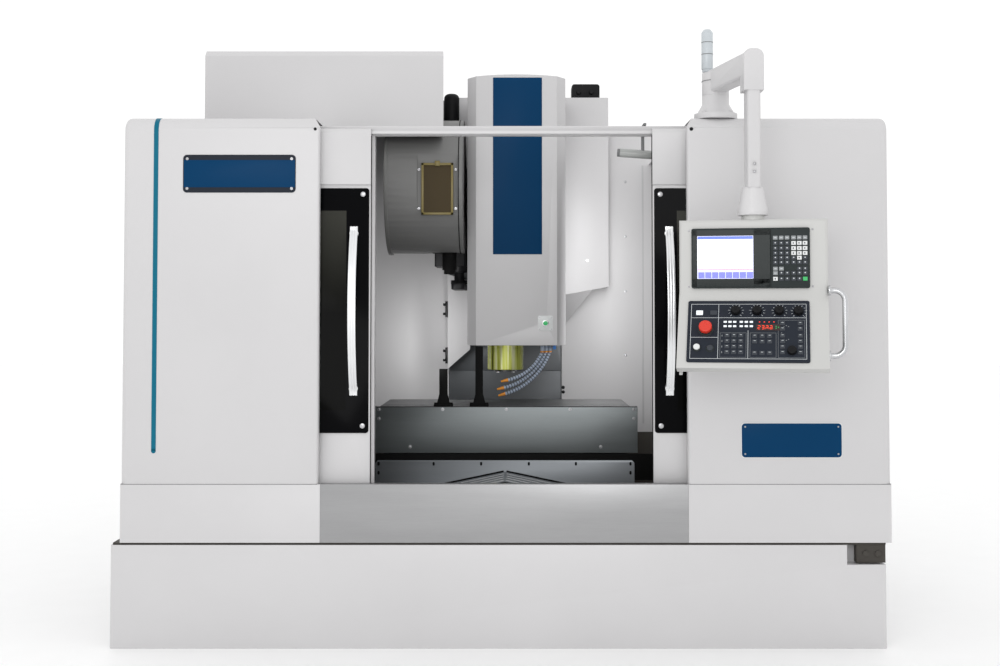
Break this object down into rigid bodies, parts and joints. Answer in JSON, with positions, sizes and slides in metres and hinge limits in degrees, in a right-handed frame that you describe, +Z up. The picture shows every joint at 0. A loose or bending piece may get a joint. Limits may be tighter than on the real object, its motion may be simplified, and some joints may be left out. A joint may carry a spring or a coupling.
{
  "type": "cnc vertical machining centre",
  "caption": "Enclosed vertical milling machine with sliding doors, moving table and spindle head, tool magazine and an operator pendant on a swing arm.",
  "frame": {"origin": "on the floor, under the middle of the machine's bounding box", "axes": "+Z up, +X to the operator's right, +Y from the operator towards the column"},
  "size_m": [3.223, 3.3673, 2.7],
  "materials": {
    "cast_grey": "painted",
    "table_iron": "ground",
    "enclosure_white": "satin",
    "brushed_apron": "brushed",
    "dark_pan": "satin",
    "way_cover_grey": "brushed",
    "guard_grey": "brushed",
    "window_black": "gloss",
    "handle_aluminium": "anodised",
    "motor_black": "satin",
    "bright_steel": "ground",
    "cartridge_gold": "gloss",
    "button_green": "gloss",
    "hose_grey": "satin",
    "magazine_grey": "satin",
    "pot_black": "satin",
    "tower_clear": "gloss",
    "pendant_white": "satin",
    "panel_dark": "satin",
    "estop_red": "gloss",
    "button_white": "gloss",
    "knob_black": "satin"
  },
  "bodies": {
    "machine": {"bed_casting": "cast_grey", "column_casting": "cast_grey", "levelling_feet": "dark_pan", "coolant_tank": "enclosure_white", "chip_pan": "dark_pan", "left_cabinet": "enclosure_white", "right_cabinet": "enclosure_white", "lower_skirts": "enclosure_white", "front_apron": "brushed_apron", "header_beam": "enclosure_white", "rear_panels": "enclosure_white", "magazine_hood": "enclosure_white", "electrical_cabinet": "enclosure_white", "servo_motors": "motor_black", "column_covers": "enclosure_white", "fixed_way_covers": "way_cover_grey", "magazine_housing": "magazine_grey", "atc_drive": "motor_black", "arm_pedestal": "enclosure_white", "signal_tower": "tower_clear"},
    "cabinet_door": {"cabinet_door": "enclosure_white"},
    "left_door": {"left_door": "enclosure_white", "left_window": "window_black", "left_handle": "handle_aluminium"},
    "right_door": {"right_door": "enclosure_white", "right_window": "window_black", "right_handle": "handle_aluminium"},
    "saddle": {"saddle": "cast_grey", "saddle_covers": "guard_grey", "x_servo_motor": "motor_black"},
    "y_cover_mid": {"y_cover_mid": "way_cover_grey"},
    "table": {"table": "table_iron", "table_guard": "guard_grey", "table_posts": "pot_black"},
    "x_ballscrew": {"x_ballscrew": "bright_steel"},
    "y_ballscrew": {"y_ballscrew": "bright_steel"},
    "z_ballscrew": {"z_ballscrew": "bright_steel"},
    "head": {"head_casting": "cast_grey", "head_cover": "enclosure_white", "spindle_motor": "motor_black", "spindle_cartridge": "cartridge_gold", "z_cover_upper": "way_cover_grey", "coolant_nozzles": "hose_grey"},
    "z_cover_mid": {"z_cover_mid": "way_cover_grey"},
    "spindle": {"spindle": "bright_steel"},
    "tool_release_button": {"tool_release_button": "button_green"},
    "carousel": {"carousel": "pot_black"},
    "tool_pot": {"tool_pot": "pot_black"},
    "change_arm": {"change_arm": "bright_steel"},
    "swing_arm": {"swing_arm": "enclosure_white"},
    "pendant": {"pendant_housing": "pendant_white", "display_unit": "panel_dark", "operator_panel": "panel_dark", "pendant_handle": "handle_aluminium"},
    "estop_button": {"estop_button": "estop_red"},
    "start_button": {"start_button": "button_white"},
    "knob_1": {"knob_1": "knob_black"},
    "knob_2": {"knob_2": "knob_black"},
    "knob_3": {"knob_3": "knob_black"},
    "knob_4": {"knob_4": "knob_black"}
  },
  "joints": [
    {"name": "left_door_slide", "type": "slide", "parent": "machine", "child": "left_door", "axis": [1, 0, 0], "range_m": [0, 0.576]},
    {"name": "right_door_slide", "type": "slide", "parent": "machine", "child": "right_door", "axis": [-1, 0, 0], "range_m": [0, 0.607]},
    {"name": "saddle_slide", "type": "slide", "parent": "machine", "child": "saddle", "axis": [0, 1, 0], "range_m": [-0.3, 0.3]},
    {"name": "table_slide", "type": "slide", "parent": "saddle", "child": "table", "axis": [1, 0, 0], "range_m": [-0.5, 0.5]},
    {"name": "head_slide", "type": "slide", "parent": "machine", "child": "head", "axis": [0, 0, 1], "range_m": [0, 0.56]},
    {"name": "y_cover_slide", "type": "slide", "parent": "machine", "child": "y_cover_mid", "axis": [0, 1, 0], "range_m": [-0.15, 0.15]},
    {"name": "z_cover_slide", "type": "slide", "parent": "machine", "child": "z_cover_mid", "axis": [0, 0, 1], "range_m": [0, 0.42]},
    {"name": "x_screw_spin", "type": "hinge", "parent": "saddle", "child": "x_ballscrew", "pos_m": [0.025, -0.018, 0.79], "axis": [1, 0, 0], "continuous": true},
    {"name": "y_screw_spin", "type": "hinge", "parent": "machine", "child": "y_ballscrew", "pos_m": [0.025, -0.218, 0.51], "axis": [0, 1, 0], "continuous": true},
    {"name": "z_screw_spin", "type": "hinge", "parent": "machine", "child": "z_ballscrew", "pos_m": [0.025, 0.764, 1.6], "axis": [0, 0, 1], "continuous": true},
    {"name": "spindle_spin", "type": "hinge", "parent": "head", "child": "spindle", "pos_m": [0.025, -0.018, 1.2], "axis": [0, 0, 1], "continuous": true},
    {"name": "tool_release_press", "type": "slide", "parent": "head", "child": "tool_release_button", "axis": [0, 1, 0], "range_m": [0, 0.004], "stiffness_N_per_m": 400},
    {"name": "carousel_spin", "type": "hinge", "parent": "machine", "child": "carousel", "pos_m": [-0.48, -0.143, 1.995], "axis": [1, 0, 0], "continuous": true},
    {"name": "tool_pot_swing", "type": "hinge", "parent": "machine", "child": "tool_pot", "pos_m": [-0.33, -0.143, 1.69], "axis": [0, -1, 0], "range_deg": [0, 90]},
    {"name": "change_arm_plunge", "type": "slide", "parent": "machine", "child": "change_arm", "axis": [0, 0, -1], "range_m": [0, 0.115]},
    {"name": "swing_arm_swing", "type": "hinge", "parent": "machine", "child": "swing_arm", "pos_m": [0.921, -1.018, 2.35], "axis": [0, 0, 1], "range_deg": [-20, 20]},
    {"name": "pendant_swivel", "type": "hinge", "parent": "swing_arm", "child": "pendant", "pos_m": [1.003, -1.418, 1.76], "axis": [0, 0, 1], "range_deg": [-25, 25]},
    {"name": "estop_press", "type": "slide", "parent": "pendant", "child": "estop_button", "axis": [0.1801, 0.8471, -0.5], "range_m": [0, 0.006], "stiffness_N_per_m": 500},
    {"name": "start_press", "type": "slide", "parent": "pendant", "child": "start_button", "axis": [0.1801, 0.8471, -0.5], "range_m": [0, 0.003], "stiffness_N_per_m": 500},
    {"name": "cabinet_door_hinge", "type": "hinge", "parent": "machine", "child": "cabinet_door", "pos_m": [-0.429, 1.67, 1.4], "axis": [0, 0, 1], "range_deg": [0, 110]},
    {"name": "knob_1_turn", "type": "hinge", "parent": "pendant", "child": "knob_1", "pos_m": [0.92043, -1.49382, 1.38607], "axis": [-0.1801, -0.8471, 0.5], "range_deg": [-135, 135]},
    {"name": "knob_2_turn", "type": "hinge", "parent": "pendant", "child": "knob_2", "pos_m": [0.99966, -1.51066, 1.38607], "axis": [-0.1801, -0.8471, 0.5], "range_deg": [-135, 135]},
    {"name": "knob_3_turn", "type": "hinge", "parent": "pendant", "child": "knob_3", "pos_m": [1.08183, -1.52813, 1.38607], "axis": [-0.1801, -0.8471, 0.5], "range_deg": [-135, 135]},
    {"name": "knob_4_turn", "type": "hinge", "parent": "pendant", "child": "knob_4", "pos_m": [1.15204, -1.54407, 1.38434], "axis": [-0.1801, -0.8471, 0.5], "range_deg": [-135, 135]}
  ],
  "couplings": [
    {"joint": "y_cover_slide", "follows": "saddle_slide", "ratio": 0.5},
    {"joint": "z_cover_slide", "follows": "head_slide", "ratio": 0.75},
    {"joint": "x_screw_spin", "follows": "table_slide", "rad_per_m": 392.7},
    {"joint": "y_screw_spin", "follows": "saddle_slide", "rad_per_m": 392.7},
    {"joint": "z_screw_spin", "follows": "head_slide", "rad_per_m": 392.7}
  ]
}
